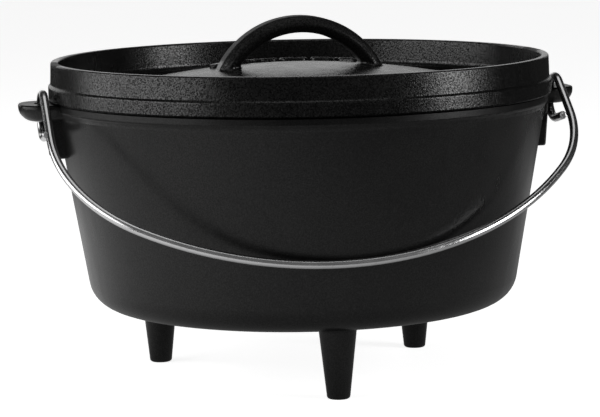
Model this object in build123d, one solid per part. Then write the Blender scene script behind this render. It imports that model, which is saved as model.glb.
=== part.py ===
from build123d import *
import os
from math import cos, radians, sin, sqrt, tan

# Cast iron camp dutch oven: a three-legged pot, a flanged lid with a cast loop handle, and a wire bail.
# Millimetres. Z is up, the feet stand on z = 0, and Z is the axis of the pot. The ears are on +X and -X.
# The bail hangs on the -Y side, above the front leg.

# --- pot -------------------------------------------------------------------------------------------
POT_BASE_Z = 47.0          # underside of the pot, carried on the legs
RIM_Z = 184.1              # rim of the pot, where the lid sits
WALL_DRAFT = 9.6           # degrees that the wall leans outwards
WALL_THICK = 5.0           # measured level, through the leaning wall
FLOOR_THICK = 5.3
MOUTH_R = 157.4            # inside radius at the rim: a nominal 12 inch oven
BASE_CORNER_R = 19.0
COLLAR_R = 163.0           # thickened band round the rim
COLLAR_TALL = 7.4
COLLAR_EDGE_R = 1.8
COLLAR_ROOT_R = 6.0        # hollow where the collar meets the wall
COLLAR_SLOPE = 2.4         # rise of the collar's underside, from the wall outwards
RIM_EDGE_R = 1.1

# --- legs ------------------------------------------------------------------------------------------
LEG_CIRCLE_R = 103.0
LEG_ANGLES = (-90, 30, 150)
FOOT_R = 7.3
LEG_TOP_R = 12.7
FOOT_EDGE_R = 1.8
LEG_ROOT_R = 4.0

# --- ears ------------------------------------------------------------------------------------------
EAR_TIP_X = 185.7
EAR_TOP_Z = 183.9
EAR_THICK = 10.9
EAR_HALF_WIDTH = 21.5
EAR_CORNER_R = 17.0        # corners in plan
EAR_UNDER_R = 8.5          # rounded lower edge
EAR_EDGE_R = 1.4
EAR_ROOT_X = 158.3         # buried in the wall
SLOT_X = 171.5             # slot for the hook of the bail, through the ear
SLOT_WIDE = 7.2
SLOT_LONG = 11.0
SLOT_EDGE_R = 1.2
RIB_HALF_WIDTH = 11.0      # upright rib between the ear and the wall
RIB_TOP_X = 168.2
RIB_FOOT_X = 165.9
RIGHT_RIB_FOOT_Z = 144.2   # on +X
LEFT_RIB_FOOT_Z = 148.2    # on -X, where the casting's rib is a little shorter
RIB_EDGE_R = 1.6

# --- lid -------------------------------------------------------------------------------------------
LID_BAND_R = 165.4         # lowest band of the lid, a little wider than the collar
LID_BAND_TALL = 9.4
BAND_EDGE_R = 1.8
BAND_STEP = 1.4            # level width of the step between the band and the flange
BAND_SLOPE = 1.0           # rise of that step, and it leaves the flange's foot a little wider
FLANGE_R = 163.5
FLANGE_THICK = 4.8
FLANGE_LEAN = 1.2          # inner face of the flange, from top to bottom
LID_EDGE_R = 1.2
FLANGE_TOP_Z = 208.9
TRAY_Z = 189.5             # flat floor between the flange and the dome, where coals lie
TRAY_CORNER_R = 5.0
DOME_R = 125.0             # edge of the dome in plan
DOME_TOP_Z = 204.1
LID_THICK = TRAY_Z - RIM_Z
LIP_GAP = 1.2              # between the locating lip and the mouth of the pot
LIP_DEEP = 3.0
LIP_THICK = 4.6
LIP_LEAN = 0.4
LIP_ROOT_R = 1.5
LIP_EDGE_R = 1.0

# --- lid handle ------------------------------------------------------------------------------------
HANDLE_OUT_R = 61.3        # the loop is part of a ring that stands in the XZ plane
HANDLE_TOP_Z = 235.8
HANDLE_THICK = 11.0
HANDLE_HALF_WIDTH = 12.5
HANDLE_FACE_HALF = 8.2     # half-width of its outer and inner faces
HANDLE_SPREAD = 80.0       # degrees that the ring runs down each side of the top
HANDLE_CUT_Z = 200.0       # feet of the loop end inside the dome
HANDLE_ROOT_R = 1.5
HANDLE_FACE_R = 6.0        # rounding beside its outer and inner faces
HANDLE_SIDE_R = 2.5        # rounding of the edge halfway between them

# --- raised pads on the dome, in a ring behind the handle --------------------------------------------
PAD_COUNT = 6
PAD_MIDDLE = 93.5          # degrees round from +X
PAD_INNER_R = 49.0
PAD_OUTER_R = 62.0
PAD_RAISE = 2.6
PAD_LEAN = 0.6             # slope of the long sides
PAD_CORNER_R = 4.5         # corners in plan
PAD_EDGE_R = 1.3
PAD_SWEEP = 19.5           # degrees covered by a pad
PAD_PITCH = 22.0

# --- bail ------------------------------------------------------------------------------------------
WIRE_R = 2.75
WIRE_END_R = 0.9
HINGE_Y = -13.15           # the hooks turn about this line, inside the front half of each ear
HINGE_Z = 177.0
HOOK_R = 13.9              # centreline of the hook
HOOK_SWEEP = 228.0         # degrees, from the leg round to the tail
TAIL_LONG = 15.0
BAIL_REACH = 160.7         # from the hook to the middle of the bow
BOW_R = 207.8
BOW_SHIFT = 9.0            # the hand-bent bow stands a little towards -X
RIGHT_SHOULDER_R = 85.0    # bends between a leg and the bow: +X, then -X
LEFT_SHOULDER_R = 104.0
BAIL_TILT = 36.3           # degrees below level at rest, where the bow leans on the wall

OVERLAP = 2.0              # how far a feature runs into the body that it joins
NEAR = 0.1                 # tolerance for picking edges by their place


def turned(points):
    """Solid of revolution about Z from (radius, z, corner radius) points."""
    outline = make_face(Polyline(*[(r, z) for r, z, _ in points], close=True))
    for r, z, corner in points:
        if corner:
            vertex = outline.vertices().sort_by_distance((r, z, 0))[0]
            outline = fillet(vertex, corner)
    return revolve(Plane.XZ * outline, Axis.Z)


def wall_r(z):
    """Outer radius of the pot wall at height z."""
    return MOUTH_R + WALL_THICK - (RIM_Z - z) * tan(radians(WALL_DRAFT))


def dome_z(r):
    """Height of the top of the dome at radius r."""
    rise = DOME_TOP_Z - TRAY_Z
    sphere = (DOME_R**2 + rise**2) / (2 * rise)
    return DOME_TOP_Z - sphere + sqrt(sphere**2 - r**2)


def make_shell():
    """Pot wall, floor and collar."""
    floor_z = POT_BASE_Z + FLOOR_THICK
    collar_z = RIM_Z - COLLAR_TALL
    return turned([
        (0, POT_BASE_Z, 0),
        (wall_r(POT_BASE_Z), POT_BASE_Z, BASE_CORNER_R),
        (wall_r(collar_z), collar_z, COLLAR_ROOT_R),
        (COLLAR_R, collar_z + COLLAR_SLOPE, COLLAR_EDGE_R),
        (COLLAR_R, RIM_Z, RIM_EDGE_R),
        (MOUTH_R, RIM_Z, RIM_EDGE_R),
        (wall_r(floor_z) - WALL_THICK, floor_z, BASE_CORNER_R - WALL_THICK),
        (0, floor_z, 0),
    ])


def make_leg(angle):
    """Tapered leg, widest where it meets the floor of the pot."""
    top_z = POT_BASE_Z + FLOOR_THICK / 2
    leg = turned([
        (0, 0, 0),
        (FOOT_R, 0, FOOT_EDGE_R),
        (LEG_TOP_R, top_z, 0),
        (0, top_z, 0),
    ])
    return Rot(0, 0, angle) * Pos(LEG_CIRCLE_R, 0, 0) * leg


def make_ear(rib_foot_z):
    """Ear on +X: a flat tab with a slot, and the rib under it."""
    under_z = EAR_TOP_Z - EAR_THICK
    length = EAR_TIP_X - EAR_ROOT_X
    plan = Pos(EAR_ROOT_X, 0) * RectangleRounded(2 * length, 2 * EAR_HALF_WIDTH, EAR_CORNER_R)
    root = Box(2 * length, 4 * EAR_HALF_WIDTH, 4 * EAR_THICK, align=(Align.MAX, Align.CENTER, Align.CENTER))
    tab = extrude(Pos(0, 0, under_z) * plan, EAR_THICK) - Pos(EAR_ROOT_X, 0, under_z) * root
    outline = tab.edges().filter_by(lambda e: e.center().X > EAR_ROOT_X + NEAR)
    lower = outline.filter_by(lambda e: abs(e.center().Z - under_z) < NEAR)
    tab = fillet(lower, EAR_UNDER_R)
    outline = tab.edges().filter_by(lambda e: e.center().X > EAR_ROOT_X + NEAR)
    upper = outline.filter_by(lambda e: abs(e.center().Z - EAR_TOP_Z) < NEAR)
    tab = fillet(upper, EAR_EDGE_R)

    slot = Pos(SLOT_X, 0, under_z - OVERLAP) * Rot(0, 0, 90) * SlotOverall(SLOT_LONG, SLOT_WIDE)
    tab = tab - extrude(slot, EAR_THICK + 2 * OVERLAP)
    mouth = tab.edges().filter_by(
        lambda e: abs(e.center().X - SLOT_X) < SLOT_WIDE / 2 + NEAR
        and abs(e.center().Y) < SLOT_LONG / 2 + NEAR
        and min(abs(e.center().Z - under_z), abs(e.center().Z - EAR_TOP_Z)) < NEAR
    )
    tab = fillet(mouth, SLOT_EDGE_R)

    top_z = under_z + OVERLAP
    rib_side = make_face(Polyline(
        (wall_r(rib_foot_z) - WALL_THICK / 2, rib_foot_z),
        (RIB_FOOT_X, rib_foot_z),
        (RIB_TOP_X, top_z),
        (wall_r(top_z) - WALL_THICK / 2, top_z),
        close=True,
    ))
    rib = extrude(Plane.XZ * rib_side, RIB_HALF_WIDTH, both=True)
    outer = rib.edges().filter_by(
        lambda e: e.center().X > wall_r(rib_foot_z) + OVERLAP and e.center().Z < top_z - NEAR
    )
    return tab + fillet(outer, RIB_EDGE_R)


def make_pot():
    pot = make_shell()
    for angle in LEG_ANGLES:
        pot = pot + make_leg(angle)
    roots = pot.edges().filter_by(GeomType.CIRCLE).filter_by(
        lambda e: abs(e.center().Z - POT_BASE_Z) < NEAR and e.radius < LEG_TOP_R
    )
    pot = fillet(roots, LEG_ROOT_R)
    return pot + make_ear(RIGHT_RIB_FOOT_Z) + Rot(0, 0, 180) * make_ear(LEFT_RIB_FOOT_Z)


def make_lid_plate():
    """Lid without its handle: dome, coal tray, flange and locating lip."""
    rise = DOME_TOP_Z - TRAY_Z
    sphere = (DOME_R**2 + rise**2) / (2 * rise)
    lip_r = MOUTH_R - LIP_GAP
    inner_r = FLANGE_R - FLANGE_THICK
    band_z = RIM_Z + LID_BAND_TALL
    disc = turned([
        (0, RIM_Z, 0),
        (lip_r - LIP_THICK, RIM_Z, LIP_ROOT_R),
        (lip_r - LIP_THICK + LIP_LEAN, RIM_Z - LIP_DEEP, LIP_EDGE_R),
        (lip_r - LIP_LEAN, RIM_Z - LIP_DEEP, LIP_EDGE_R),
        (lip_r, RIM_Z, 0),
        (LID_BAND_R, RIM_Z, LID_EDGE_R),
        (LID_BAND_R, band_z, BAND_EDGE_R),
        (LID_BAND_R - BAND_STEP, band_z + BAND_SLOPE, LID_EDGE_R),
        (FLANGE_R, FLANGE_TOP_Z, LID_EDGE_R),
        (inner_r, FLANGE_TOP_Z, LID_EDGE_R),
        (inner_r - FLANGE_LEAN, TRAY_Z, TRAY_CORNER_R),
        (0, TRAY_Z, 0),
    ])
    low = (Align.CENTER, Align.CENTER, Align.MIN)
    cap = Pos(0, 0, DOME_TOP_Z - sphere) * Sphere(sphere)
    cap = cap & Pos(0, 0, TRAY_Z - OVERLAP) * Cylinder(DOME_R + 2 * OVERLAP, 2 * rise, align=low)
    hollow = Pos(0, 0, DOME_TOP_Z - LID_THICK - sphere) * Sphere(sphere)
    hollow = hollow & Pos(0, 0, RIM_Z) * Cylinder(DOME_R, 2 * rise, align=low)
    return disc + cap - hollow


def make_handle():
    """Loop handle: part of a ring about a level axis, with faces that meet at a soft edge halfway."""
    centre_z = HANDLE_TOP_Z - HANDLE_OUT_R
    mid = HANDLE_OUT_R - HANDLE_THICK / 2
    section = make_face(Polyline(
        (HANDLE_HALF_WIDTH, mid),
        (HANDLE_FACE_HALF, HANDLE_OUT_R),
        (-HANDLE_FACE_HALF, HANDLE_OUT_R),
        (-HANDLE_HALF_WIDTH, mid),
        (-HANDLE_FACE_HALF, HANDLE_OUT_R - HANDLE_THICK),
        (HANDLE_FACE_HALF, HANDLE_OUT_R - HANDLE_THICK),
        close=True,
    ))
    corners = section.vertices().filter_by(lambda v: abs(v.Y - mid) > NEAR)
    section = fillet(corners, HANDLE_FACE_R)
    sides = section.vertices().sort_by(Axis.X)
    section = fillet([sides[0], sides[-1]], HANDLE_SIDE_R)
    upright = Pos(0, 0, centre_z) * Rot(0, -HANDLE_SPREAD, 0) * (Plane.YZ * section)
    ring = revolve(upright, Axis((0, 0, centre_z), (0, 1, 0)), 2 * HANDLE_SPREAD)
    keep = Pos(0, 0, HANDLE_CUT_Z) * Box(
        3 * HANDLE_OUT_R, 3 * HANDLE_OUT_R, HANDLE_OUT_R, align=(Align.CENTER, Align.CENTER, Align.MIN)
    )
    return ring & keep


def make_pad(angle):
    """One raised pad that follows the dome, centred at an angle about Z."""
    base_z = dome_z(PAD_OUTER_R) - LID_THICK / 2
    outline = make_face(Polyline(
        (PAD_INNER_R, base_z),
        (PAD_OUTER_R, base_z),
        (PAD_OUTER_R - PAD_LEAN, dome_z(PAD_OUTER_R) + PAD_RAISE),
        (PAD_INNER_R + PAD_LEAN, dome_z(PAD_INNER_R) + PAD_RAISE),
        close=True,
    ))
    pad = revolve(Plane.XZ * outline, Axis.Z, PAD_SWEEP)
    pad = fillet(pad.edges().filter_by(lambda e: e.bounding_box().size.Z > PAD_RAISE), PAD_CORNER_R)
    pad = fillet(pad.faces().sort_by(Axis.Z)[-1].edges(), PAD_EDGE_R)
    return Rot(0, 0, angle - PAD_SWEEP / 2) * pad


def make_lid():
    lid = Rot(0, 0, 45) * make_lid_plate() + make_handle()
    foot = lid.edges().filter_by(
        lambda e: abs(e.center().Y) < HANDLE_HALF_WIDTH + NEAR
        and HANDLE_OUT_R / 2 < abs(e.center().X) < HANDLE_OUT_R
        and abs(e.center().Z - dome_z(abs(e.center().X))) < OVERLAP
    )
    lid = fillet(foot, HANDLE_ROOT_R)
    for place in range(PAD_COUNT):
        lid = lid + make_pad(PAD_MIDDLE + (place - (PAD_COUNT - 1) / 2) * PAD_PITCH)
    return lid


def bail_path():
    """Centreline of the wire in the bail's own frame.

    X is the hinge line and points to -X of the pot, and Y runs out along the legs of the bail.
    """
    level = HOOK_R
    bow_y = BAIL_REACH - BOW_R

    def hook(side):
        turn = HOOK_SWEEP
        arc = [
            Vector(side * SLOT_X, -HOOK_R * sin(radians(a)), HOOK_R * cos(radians(a)))
            for a in (0, turn / 2, turn)
        ]
        along = Vector(0, -cos(radians(turn)), -sin(radians(turn)))
        return ThreePointArc(*arc), Line(arc[2], arc[2] + along * TAIL_LONG)

    def shoulder(side, bend_r):
        centre_x = side * (SLOT_X - bend_r)
        across = centre_x - BOW_SHIFT
        centre_y = bow_y + sqrt((BOW_R - bend_r) ** 2 - across**2)
        to_bow = Vector(across, centre_y - bow_y).normalized()
        centre = Vector(centre_x, centre_y)
        start = Vector(side * SLOT_X, centre_y, level)
        end = centre + to_bow * bend_r + Vector(0, 0, level)
        middle = centre + (to_bow + Vector(side, 0)).normalized() * bend_r + Vector(0, 0, level)
        return start, middle, end

    left = shoulder(1, LEFT_SHOULDER_R)
    right = shoulder(-1, RIGHT_SHOULDER_R)
    hook_l, tail_l = hook(1)
    hook_r, tail_r = hook(-1)
    edges = [
        tail_r,
        hook_r,
        Line((-SLOT_X, 0, level), right[0]),
        ThreePointArc(*right),
        ThreePointArc(right[2], (BOW_SHIFT, BAIL_REACH, level), left[2]),
        ThreePointArc(*left[::-1]),
        Line(left[0], (SLOT_X, 0, level)),
        hook_l,
        tail_l,
    ]
    return Wire(edges)


def make_bail():
    path = bail_path()
    start = path.position_at(0)
    section = Plane(start, z_dir=path.tangent_at(0)) * Circle(WIRE_R)
    wire = sweep(section, path=path)
    wire = fillet(wire.faces().filter_by(GeomType.PLANE).edges(), WIRE_END_R)
    return Pos(0, HINGE_Y, HINGE_Z) * Rot(BAIL_TILT, 0, 0) * Rot(0, 0, 180) * wire


def main():
    os.makedirs("parts", exist_ok=True)
    export_step(make_pot(), "parts/pot.step")
    export_step(make_lid(), "parts/lid.step")
    export_step(make_bail(), "parts/bail.step")


main()
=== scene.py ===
from math import cos, pi, radians, sin

import bpy
from mathutils import Euler, Matrix, Vector

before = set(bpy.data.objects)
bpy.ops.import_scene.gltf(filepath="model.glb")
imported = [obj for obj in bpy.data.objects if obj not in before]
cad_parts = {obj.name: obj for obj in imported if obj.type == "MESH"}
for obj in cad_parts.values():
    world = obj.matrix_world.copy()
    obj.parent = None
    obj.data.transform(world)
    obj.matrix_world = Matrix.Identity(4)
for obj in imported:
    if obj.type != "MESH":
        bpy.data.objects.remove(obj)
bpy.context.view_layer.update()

# Cast iron camp dutch oven. Metres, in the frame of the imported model: Z up, the feet on z = 0.
# The pot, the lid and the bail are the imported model's own nodes. This file gives them their finishes,
# and adds the light, the floor and the camera.

# --- camera: a long lens a little above the lid, to the left of the front leg ------------------------
LENS = 155.04
CAMERA_PLACE = (-0.34902, -1.66493, 0.33740)
HEADING = 11.795           # degrees to the right of +Y
PITCH = 7.696              # degrees below level
ROLL = -0.984

# level directions as the camera has them: away from it, and to its right
AWAY = Vector((sin(radians(HEADING)), cos(radians(HEADING)), 0))
RIGHT = Vector((cos(radians(HEADING)), -sin(radians(HEADING)), 0))


def make_camera():
    """A camera at the angle of the photograph."""
    data = bpy.data.cameras.new("camera")
    data.lens = LENS
    data.clip_start = 0.05
    data.clip_end = 60.0
    camera = bpy.data.objects.new("camera", data)
    aim = Euler((radians(90 - PITCH), 0, -radians(HEADING))).to_matrix()
    aim = aim @ Matrix.Rotation(radians(ROLL), 3, "Z")
    camera.matrix_world = Matrix.Translation(CAMERA_PLACE) @ aim.to_4x4()
    bpy.context.scene.collection.objects.link(camera)
    bpy.context.scene.camera = camera


# --- node helpers ------------------------------------------------------------------------------------
def new_tree(owner):
    """The empty node tree of a material or a world."""
    owner.use_nodes = True
    owner.node_tree.nodes.clear()
    return owner.node_tree


def new_material(name):
    """An empty node material, its principled shader and its node tree."""
    material = bpy.data.materials.new(name)
    tree = new_tree(material)
    output = tree.nodes.new("ShaderNodeOutputMaterial")
    shader = tree.nodes.new("ShaderNodeBsdfPrincipled")
    tree.links.new(shader.outputs["BSDF"], output.inputs["Surface"])
    return material, shader, tree


def add(tree, kind, inputs=None, **settings):
    """A node of a kind, with its settings and its input values or links."""
    node = tree.nodes.new("ShaderNode" + kind)
    for key, value in settings.items():
        setattr(node, key, value)
    for key, value in (inputs or {}).items():
        if isinstance(value, bpy.types.NodeSocket):
            tree.links.new(value, node.inputs[key])
        else:
            node.inputs[key].default_value = value
    return node


def calc(tree, operation, first, second=0.0):
    """A sum, product or other operation on one or two values."""
    return add(tree, "Math", {0: first, 1: second}, operation=operation).outputs[0]


def noise(tree, where, scale, detail, roughness):
    """Cloudy noise with a number of features to the metre."""
    node = add(tree, "TexNoise", {
        "Vector": where, "Scale": scale, "Detail": detail, "Roughness": roughness,
    })
    return node.outputs["Fac"]


def stretched(tree, where, scale):
    """The place, scaled along each axis."""
    return add(tree, "Mapping", {"Vector": where, "Scale": scale}).outputs[0]


def remap(tree, value, low, high, to_low, to_high):
    """A value carried straight from one range to another, and held at its ends."""
    node = add(tree, "MapRange", {
        "Value": value, "From Min": low, "From Max": high, "To Min": to_low, "To Max": to_high,
    })
    return node.outputs["Result"]


def smooth(tree, value, low, high, to_low, to_high):
    """The same as remap, with a soft start and end."""
    node = add(tree, "MapRange", {
        "Value": value, "From Min": low, "From Max": high, "To Min": to_low, "To Max": to_high,
    }, interpolation_type="SMOOTHSTEP")
    return node.outputs["Result"]


def along(tree, where, direction):
    """How far the place lies along a direction."""
    return add(tree, "VectorMath", {0: where, 1: direction}, operation="DOT_PRODUCT").outputs["Value"]


def mix(tree, factor, first, second):
    """A colour between two colours."""
    node = add(tree, "Mix", data_type="RGBA")
    for socket, value in ((node.inputs[0], factor), (node.inputs[6], first), (node.inputs[7], second)):
        if isinstance(value, bpy.types.NodeSocket):
            tree.links.new(value, socket)
        else:
            socket.default_value = value
    return node.outputs[2]


def bump(tree, height, distance, normal=None):
    """A normal that a height between 0 and 1 tilts, as if 1 stood a distance above 0."""
    inputs = {"Height": height, "Distance": distance, "Strength": 1.0}
    if normal is not None:
        inputs["Normal"] = normal
    return add(tree, "Bump", inputs).outputs["Normal"]


def finish_node(node, material):
    """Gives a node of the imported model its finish."""
    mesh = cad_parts[node].data
    mesh.materials.clear()
    mesh.materials.append(material)


# --- materials ---------------------------------------------------------------------------------------
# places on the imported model
RIM_Z = 0.1841                     # the lid sits on the rim of the pot here
COLLAR_R = 0.163
DOME_TOP_Z = 0.2041
HANDLE_HALF_WIDTH = 0.0125

# where the zones of the castings fade in or out, each from a first value to a second
WORN_BEND = (0.80, 0.985)          # how well the rounded and the true normal agree
HANDLE_FOOT_Z = (DOME_TOP_Z + 0.0014, DOME_TOP_Z + 0.0044)
HANDLE_SIDE_Y = (HANDLE_HALF_WIDTH + 0.0015, HANDLE_HALF_WIDTH + 0.0055)
SEAM_Z = RIM_Z + 0.0001            # middle of the painted shade line along the gap between lid and pot
SEAM_HALF_HEIGHT = (0.0007, 0.0013)
COLLAR_FOOT_Z = (RIM_Z - 0.0086, RIM_Z - 0.0066)
COLLAR_TOP_Z = (RIM_Z + 0.0001, RIM_Z + 0.0005)
EAR_ROOT_X = (COLLAR_R, COLLAR_R + 0.002)

# linear colours of seasoned iron
IRON_BLACK = (0.0030, 0.0030, 0.0031, 1)
IRON_BROWN_BLACK = (0.0066, 0.0065, 0.0063, 1)
PEBBLE_GREY = (0.016, 0.0155, 0.015, 1)
# greyer edges: partly real wear, partly a painted highlight where edges catch the light
WORN_GREY_AND_EDGE_HIGHLIGHT = (0.030, 0.028, 0.026, 1)
# painted shade: the shadow in the gap where the lid sits on the pot, painted into the colour
PAINTED_SEAM_SHADE = (0.0008, 0.0008, 0.0008, 1)

# linear colours of drawn steel
STEEL_DULL = (0.66, 0.66, 0.67, 1)
STEEL_BRIGHT = (0.80, 0.80, 0.80, 1)
STEEL_FLECK = (0.50, 0.49, 0.48, 1)

WEAR_WIDTH = 0.0012
CLOUD_SCALE = 14.0                 # features to the metre in the broad stains
STREAK_SCALE = (90, 90, 16)        # upright streaks, features to the metre along each axis
FINE_PER_PEBBLE = 3                # grains of the fine skin across a pebble
FINE_SHARE = 0.1                   # height of the fine grain, in heights of the pebbles
PEBBLE_TOP = (0.58, 0.75)          # the pebble noise at the tops that look greyer
PEBBLE_GREY_SHARE = 0.35
WORN_AND_HIGHLIGHT_SHARE = 0.5
WORN_LEAST = 0.3                   # wear where the stain is heaviest
ROUGH_BELOW = 0.04                 # roughness varies from this much less than its usual value
ROUGH_ABOVE = 0.05                 # to this much more
COLLAR_MATT = 0.5                  # the collar is half as matt as the handle
MATT_ROUGHNESS = 0.22              # what the matt zones add to the roughness
MATT_LOSS = 0.5                    # shares of the shine that the matt zones and the painted seam shade lose
SEAM_LOSS = 0.9
WORN_SHINE = 0.15
MIDDLE = 0.5                       # a noise's usual value

WIRE_CLOUD_SCALE = 60.0
WIRE_FLECK_SCALE = 700.0
WIRE_FLECK_HEIGHT = 0.00001
WIRE_FLECK_TOP = (0.60, 0.75)      # the fleck noise where the flecks show
WIRE_FLECK_SHARE = 0.5
WIRE_ROUGHNESS = (0.16, 0.26)


def around_middle(spread):
    """A range of noise values as wide on both sides of the middle."""
    return MIDDLE - spread, MIDDLE + spread


def edge_wear_and_highlight(tree, width):
    """1 along edges, both rubbed wear and a painted highlight where the edges catch the light, 0 on the
    open faces.
    """
    rounded = add(tree, "Bevel", {"Radius": width}, samples=6).outputs[0]
    true = add(tree, "NewGeometry").outputs["True Normal"]
    agree = add(tree, "VectorMath", {0: rounded, 1: true}, operation="DOT_PRODUCT").outputs["Value"]
    return smooth(tree, agree, *WORN_BEND, 1.0, 0.0)


def handle_zone(tree, where):
    """1 on the lid's loop handle, which stands above the dome near the middle plane, 0 elsewhere."""
    place = add(tree, "SeparateXYZ", {"Vector": where}).outputs
    high = smooth(tree, place["Z"], *HANDLE_FOOT_Z, 0.0, 1.0)
    across = calc(tree, "ABSOLUTE", place["Y"])
    return calc(tree, "MULTIPLY", high, smooth(tree, across, *HANDLE_SIDE_Y, 1.0, 0.0))


def painted_seam_shade_zone(tree, where):
    """1 in the line of painted shade where the lid sits on the rim, the gap's shadow put into the colour, 0
    elsewhere.
    """
    height = add(tree, "SeparateXYZ", {"Vector": where}).outputs["Z"]
    off = calc(tree, "ABSOLUTE", calc(tree, "SUBTRACT", height, SEAM_Z))
    return smooth(tree, off, *SEAM_HALF_HEIGHT, 1.0, 0.0)


def collar_zone(tree, where):
    """1 on the thickened collar below the rim, 0 elsewhere and on the ears."""
    place = add(tree, "SeparateXYZ", {"Vector": where}).outputs
    above = smooth(tree, place["Z"], *COLLAR_FOOT_Z, 0.0, 1.0)
    below = smooth(tree, place["Z"], *COLLAR_TOP_Z, 1.0, 0.0)
    inside = smooth(tree, calc(tree, "ABSOLUTE", place["X"]), *EAR_ROOT_X, 1.0, 0.0)
    return calc(tree, "MULTIPLY", inside, calc(tree, "MULTIPLY", above, below))


def cast_iron(name, grain_size, grain_height, rough, gloss, gloss_spread):
    """Oil-seasoned cast iron: near black, satin, with the pebbly skin that sand casting leaves."""
    material, shader, tree = new_material(name)
    where = add(tree, "TexCoord").outputs["Object"]
    seam_shade = painted_seam_shade_zone(tree, where)
    collar = calc(tree, "MULTIPLY", collar_zone(tree, where), COLLAR_MATT)
    matt = calc(tree, "MAXIMUM", handle_zone(tree, where), collar)
    cloud = noise(tree, where, CLOUD_SCALE, 4.0, 0.6)
    streak = noise(tree, stretched(tree, where, STREAK_SCALE), 1.0, 3.0, 0.6)
    pebble = noise(tree, where, 1 / grain_size, 1.5, 0.5)
    fine = noise(tree, where, FINE_PER_PEBBLE / grain_size, 2.0, 0.6)
    patches = remap(tree, cloud, *around_middle(0.2), WORN_LEAST, 1.0)
    worn_and_highlit = calc(tree, "MULTIPLY", edge_wear_and_highlight(tree, WEAR_WIDTH), patches)

    stain = remap(tree, cloud, *around_middle(0.15), 0, 1)
    colour = mix(tree, stain, IRON_BLACK, IRON_BROWN_BLACK)
    colour = mix(tree, remap(tree, pebble, *PEBBLE_TOP, 0, PEBBLE_GREY_SHARE), colour, PEBBLE_GREY)
    # partly real wear, partly painted highlight: the edges are greyed in the colour as if catching the
    # light
    colour = mix(tree, calc(tree, "MULTIPLY", worn_and_highlit, WORN_AND_HIGHLIGHT_SHARE), colour, WORN_GREY_AND_EDGE_HIGHLIGHT)
    # painted shade: the shadow of the gap between lid and pot, painted near black into the colour
    colour = mix(tree, seam_shade, colour, PAINTED_SEAM_SHADE)
    tree.links.new(colour, shader.inputs["Base Color"])

    blotch = calc(tree, "ADD", calc(tree, "MULTIPLY", cloud, 0.5), calc(tree, "MULTIPLY", streak, 0.5))
    roughness = remap(tree, blotch, *around_middle(0.15), rough - ROUGH_BELOW, rough + ROUGH_ABOVE)
    roughness = calc(tree, "ADD", roughness, calc(tree, "MULTIPLY", matt, MATT_ROUGHNESS))
    tree.links.new(roughness, shader.inputs["Roughness"])

    # the tops of the pebbles shine more than the pits between them
    shine = remap(tree, pebble, *around_middle(0.14), gloss - gloss_spread, gloss + gloss_spread)
    shine = calc(tree, "ADD", shine, calc(tree, "MULTIPLY", worn_and_highlit, WORN_SHINE))
    for zone, loss in ((matt, MATT_LOSS), (seam_shade, SEAM_LOSS)):
        kept = calc(tree, "SUBTRACT", 1.0, calc(tree, "MULTIPLY", zone, loss))
        shine = calc(tree, "MULTIPLY", shine, kept)
    tree.links.new(shine, shader.inputs["Specular IOR Level"])

    normal = bump(tree, fine, grain_height * FINE_SHARE)
    tree.links.new(bump(tree, pebble, grain_height, normal), shader.inputs["Normal"])
    return material


def pot_finish():
    """The smoother skin of the pot."""
    return cast_iron(
        "pot_iron", grain_size=0.0008, grain_height=0.00003, rough=0.28, gloss=0.36, gloss_spread=0.08,
    )


def lid_finish():
    """The coarser skin of the lid."""
    return cast_iron(
        "lid_iron", grain_size=0.0010, grain_height=0.00012, rough=0.25, gloss=0.40, gloss_spread=0.30,
    )


def bright_wire():
    """Bright drawn steel wire."""
    material, shader, tree = new_material("bright_wire")
    where = add(tree, "TexCoord").outputs["Object"]
    cloud = noise(tree, where, WIRE_CLOUD_SCALE, 3.0, 0.6)
    fleck = noise(tree, where, WIRE_FLECK_SCALE, 2.0, 0.6)
    colour = mix(tree, cloud, STEEL_DULL, STEEL_BRIGHT)
    colour = mix(tree, remap(tree, fleck, *WIRE_FLECK_TOP, 0, WIRE_FLECK_SHARE), colour, STEEL_FLECK)
    tree.links.new(colour, shader.inputs["Base Color"])
    shader.inputs["Metallic"].default_value = 1.0
    roughness = remap(tree, cloud, *around_middle(0.2), *WIRE_ROUGHNESS)
    tree.links.new(roughness, shader.inputs["Roughness"])
    tree.links.new(bump(tree, fleck, WIRE_FLECK_HEIGHT), shader.inputs["Normal"])
    return material


# --- studio ------------------------------------------------------------------------------------------
FLOOR_REACH = 14.0
FLOOR_GLOW = 0.86          # the floor is near white to look at, with only a faint shadow
FLOOR_GREY = (0.85, 0.85, 0.85, 1)
WHITE = (1, 1, 1, 1)

# the floor's own light on the object: (from, to) in metres, then (light at the first, at the second)
UNDER_POT = (0.08, 0.30), (0.40, 1.0)      # by distance from the middle
FAR_OFF = (0.45, 1.20), (1.0, 0.04)
LEFT_TO_RIGHT = (-0.5, 0.5), (0.75, 0.22)
FRONT_TO_REAR = (0.2, 0.6), (0.0, 0.35)    # only on the right
RIGHT_HALF = (0.0, 0.4), (0.0, 1.0)

# the world's light: the same, by the cosine of the angle to straight away from the camera
WORLD_FRONT = (-0.4, 0.0), (0.12, 0.02)
WORLD_BACK = (0.80, 0.97), (0.0, 0.8)
GLOW_TURN = 10             # WORLD_BACK is centred these degrees to the left of straight away


def fade(tree, value, fall):
    """A light that changes softly over a range of a value."""
    (low, high), (first, second) = fall
    return smooth(tree, value, low, high, first, second)


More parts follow.
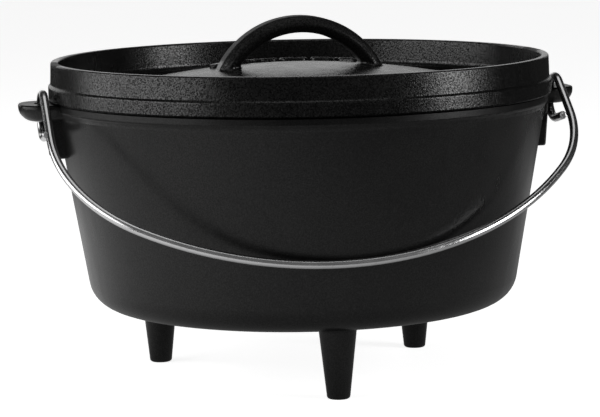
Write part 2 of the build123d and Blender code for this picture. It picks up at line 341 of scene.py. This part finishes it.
def make_floor():
    """Pale floor. As a light on the object it is brightest a little way off and to the left."""
    mesh = bpy.data.meshes.new("floor")
    corners = [(x * FLOOR_REACH, y * FLOOR_REACH, 0) for x, y in ((-1, -1), (1, -1), (1, 1), (-1, 1))]
    mesh.from_pydata(corners, [], [(0, 1, 2, 3)])
    floor = bpy.data.objects.new("floor", mesh)
    bpy.context.scene.collection.objects.link(floor)
    material = bpy.data.materials.new("floor")
    tree = new_tree(material)
    output = tree.nodes.new("ShaderNodeOutputMaterial")
    where = add(tree, "TexCoord").outputs["Object"]
    reach = add(tree, "VectorMath", {0: where}, operation="LENGTH").outputs["Value"]
    to_right = along(tree, where, RIGHT)
    around = calc(tree, "MULTIPLY", fade(tree, reach, UNDER_POT), fade(tree, reach, FAR_OFF))
    behind = fade(tree, along(tree, where, AWAY), FRONT_TO_REAR)
    rear_right = calc(tree, "MULTIPLY", behind, fade(tree, to_right, RIGHT_HALF))
    level = calc(tree, "ADD", fade(tree, to_right, LEFT_TO_RIGHT), rear_right)
    glow = calc(tree, "MULTIPLY", around, level)
    lit = add(tree, "Emission", {"Strength": glow})
    bare = add(tree, "BsdfDiffuse", {"Color": FLOOR_GREY})
    white = add(tree, "Emission", {"Strength": FLOOR_GLOW})
    seen = add(tree, "AddShader", {0: white.outputs[0], 1: bare.outputs[0]})
    choose = add(tree, "MixShader", {
        0: add(tree, "LightPath").outputs["Is Camera Ray"], 1: lit.outputs[0], 2: seen.outputs[0],
    })
    tree.links.new(choose.outputs[0], output.inputs["Surface"])
    mesh.materials.append(material)


def make_softbox(name, turn, distance, centre_z, width, height, radiance):
    """An area light that faces the object, turned to the right of the camera by some degrees."""
    side = RIGHT * sin(radians(turn)) - AWAY * cos(radians(turn))
    place = side * distance + Vector((0, 0, centre_z))
    data = bpy.data.lights.new(name, "AREA")
    data.shape = "RECTANGLE"
    data.size = width
    data.size_y = height
    data.energy = radiance * pi * width * height
    light = bpy.data.objects.new(name, data)
    light.location = place
    light.rotation_euler = (-side).to_track_quat("-Z", "Y").to_euler()
    light.visible_camera = False
    bpy.context.scene.collection.objects.link(light)
    return light


def make_world():
    """White to look at. As light on the object it is bright only low down behind it, and faint in front."""
    world = bpy.data.worlds.new("studio")
    tree = new_tree(world)
    output = tree.nodes.new("ShaderNodeOutputWorld")
    where = add(tree, "TexCoord").outputs["Generated"]
    front = fade(tree, along(tree, where, AWAY), WORLD_FRONT)
    glow_way = AWAY * cos(radians(GLOW_TURN)) - RIGHT * sin(radians(GLOW_TURN))
    behind = fade(tree, along(tree, where, glow_way), WORLD_BACK)
    strength = calc(tree, "ADD", front, behind)
    light = add(tree, "Background", {"Color": WHITE, "Strength": strength})
    seen = add(tree, "Background", {"Color": WHITE, "Strength": 1.0})
    choose = add(tree, "MixShader", {
        0: add(tree, "LightPath").outputs["Is Camera Ray"], 1: light.outputs[0], 2: seen.outputs[0],
    })
    tree.links.new(choose.outputs[0], output.inputs["Surface"])
    bpy.context.scene.world = world


def make_lights():
    """A wide box to the left, a narrow bright one to the right and a faint one overhead."""
    make_softbox("left_box", turn=-76, distance=1.7, centre_z=0.55, width=2.3, height=1.2, radiance=2.4)
    make_softbox("right_box", turn=70, distance=1.7, centre_z=0.55, width=0.60, height=1.0, radiance=6.5)
    top = make_softbox("top_box", turn=0, distance=0.0, centre_z=1.6, width=1.2, height=1.2, radiance=0.7)
    top.rotation_euler = (0, 0, 0)


def main():
    make_camera()
    make_world()
    make_floor()
    make_lights()
    finish_node("pot", pot_finish())
    finish_node("lid", lid_finish())
    finish_node("bail", bright_wire())
    bpy.context.scene.view_settings.view_transform = "Standard"


main()
